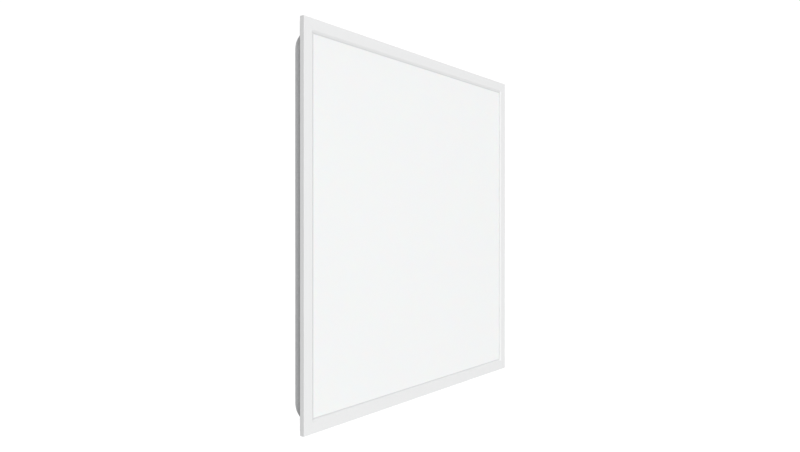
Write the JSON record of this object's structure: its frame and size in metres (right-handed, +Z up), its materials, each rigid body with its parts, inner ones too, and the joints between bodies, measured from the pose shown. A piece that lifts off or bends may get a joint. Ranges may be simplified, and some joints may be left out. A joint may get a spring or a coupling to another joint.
{
  "type": "led panel light",
  "caption": "Square lay-in LED ceiling panel: mitred frame, opal diffuser, back-lit strips in a sheet pan, and a driver with a hinged terminal cover on its back.",
  "frame": {"origin": "centre of the pan's flat back face, midway between the four hanging nuts", "axes": "+Z up as the panel is shown standing, +Y out of the back, +X to the right seen from the front; the diffuser faces -Y"},
  "size_m": [0.595, 0.0575, 0.595],
  "materials": {
    "frame_white": "white powder coat, satin",
    "opal_diffuser": "opal acrylic, satin",
    "pan_grey": "pre-coated steel sheet, light grey",
    "zinc_steel": "bright zinc plated",
    "key_metal": "die cast, raw",
    "seal_grey": "light grey seal strip",
    "foam": "closed-cell foam tape",
    "reflector": "white reflector film",
    "board_white": "white solder mask on aluminium",
    "led_package": "phosphor-filled package",
    "lens_clear": "clear moulded lens",
    "connector": "natural white nylon",
    "pin_nylon": "white nylon",
    "rivet_alloy": "blind rivet alloy",
    "housing": "moulded polycarbonate, fine texture",
    "gland_nylon": "grey nylon",
    "seal_rubber": "black chloroprene",
    "board_green": "green solder mask",
    "terminal_body": "light grey polyamide",
    "button_brown": "brown polyamide",
    "button_blue": "blue polyamide",
    "button_green": "green polyamide",
    "header_black": "black polyamide",
    "pin_brass": "tinned brass",
    "ferrite": "sintered ferrite",
    "winding_tape": "yellow polyester tape",
    "copper_wire": "enamelled copper wire",
    "capacitor_can": "dark sleeve",
    "film_box": "yellow box",
    "fuse_glass": "glass tube with metal caps",
    "sink_alloy": "extruded, raw",
    "transistor": "black epoxy"
  },
  "bodies": {
    "panel": {"frame_bottom": "frame_white", "frame_left": "frame_white", "frame_top": "frame_white", "frame_right": "frame_white", "corner_keys": "key_metal", "corner_key_screws": "zinc_steel", "diffuser": "opal_diffuser", "diffuser_seal": "seal_grey", "pan_gasket": "foam", "back_pan": "pan_grey", "pan_screws": "zinc_steel", "reflector_sheet": "reflector", "reflector_pins": "pin_nylon", "led_board_1": "board_white", "led_board_2": "board_white", "led_board_3": "board_white", "led_board_4": "board_white", "led_board_5": "board_white", "led_board_6": "board_white", "led_chips": "led_package", "lenses": "lens_clear", "strip_rivets": "rivet_alloy", "strip_connectors": "connector", "bus_board": "board_white", "hanging_nuts": "zinc_steel", "safety_lug": "zinc_steel", "clip_rivets": "rivet_alloy", "earth_stud": "zinc_steel", "earth_nut": "zinc_steel", "driver_base": "housing", "driver_screws": "zinc_steel", "driver_cover": "housing", "cover_screws": "zinc_steel", "hinge_pin": "zinc_steel", "gland_body": "gland_nylon", "gland_nut": "gland_nylon", "gland_seal": "seal_rubber", "gland_locknut": "gland_nylon", "driver_board": "board_green", "mains_terminal": "terminal_body", "output_header": "header_black", "output_pins": "pin_brass", "transformer_core": "ferrite", "transformer_winding": "winding_tape", "input_capacitor": "capacitor_can", "output_capacitor": "capacitor_can", "choke_core": "ferrite", "choke_windings": "copper_wire", "film_capacitor": "film_box", "fuse": "fuse_glass", "heat_sink": "sink_alloy", "power_transistor": "transistor"},
    "terminal_cover": {"terminal_cover": "housing"},
    "release_button_live": {"release_button_live": "button_brown"},
    "release_button_neutral": {"release_button_neutral": "button_blue"},
    "release_button_earth": {"release_button_earth": "button_green"},
    "grid_clip_bottom_left": {"grid_clip_bottom_left": "zinc_steel"},
    "grid_clip_bottom_right": {"grid_clip_bottom_right": "zinc_steel"},
    "grid_clip_top_left": {"grid_clip_top_left": "zinc_steel"},
    "grid_clip_top_right": {"grid_clip_top_right": "zinc_steel"}
  },
  "joints": [
    {"name": "terminal_cover_hinge", "type": "hinge", "parent": "panel", "child": "terminal_cover", "pos_m": [0.151, 0.025, 0], "axis": [0, 0, -1], "range_deg": [0, 110]},
    {"name": "release_button_live_press", "type": "slide", "parent": "panel", "child": "release_button_live", "axis": [0, -1, 0], "range_m": [0, 0.002], "stiffness_N_per_m": 400, "springref_m": -0.001},
    {"name": "release_button_neutral_press", "type": "slide", "parent": "panel", "child": "release_button_neutral", "axis": [0, -1, 0], "range_m": [0, 0.002], "stiffness_N_per_m": 400, "springref_m": -0.001},
    {"name": "release_button_earth_press", "type": "slide", "parent": "panel", "child": "release_button_earth", "axis": [0, -1, 0], "range_m": [0, 0.002], "stiffness_N_per_m": 400, "springref_m": -0.001},
    {"name": "grid_clip_bottom_left_swing", "type": "hinge", "parent": "panel", "child": "grid_clip_bottom_left", "pos_m": [-0.2, 0.0009, -0.272], "axis": [0, 1, 0], "range_deg": [0, 90]},
    {"name": "grid_clip_bottom_right_swing", "type": "hinge", "parent": "panel", "child": "grid_clip_bottom_right", "pos_m": [0.2, 0.0009, -0.272], "axis": [0, -1, 0], "range_deg": [0, 90]},
    {"name": "grid_clip_top_left_swing", "type": "hinge", "parent": "panel", "child": "grid_clip_top_left", "pos_m": [-0.2, 0.0009, 0.272], "axis": [0, -1, 0], "range_deg": [0, 90]},
    {"name": "grid_clip_top_right_swing", "type": "hinge", "parent": "panel", "child": "grid_clip_top_right", "pos_m": [0.2, 0.0009, 0.272], "axis": [0, 1, 0], "range_deg": [0, 90]}
  ]
}
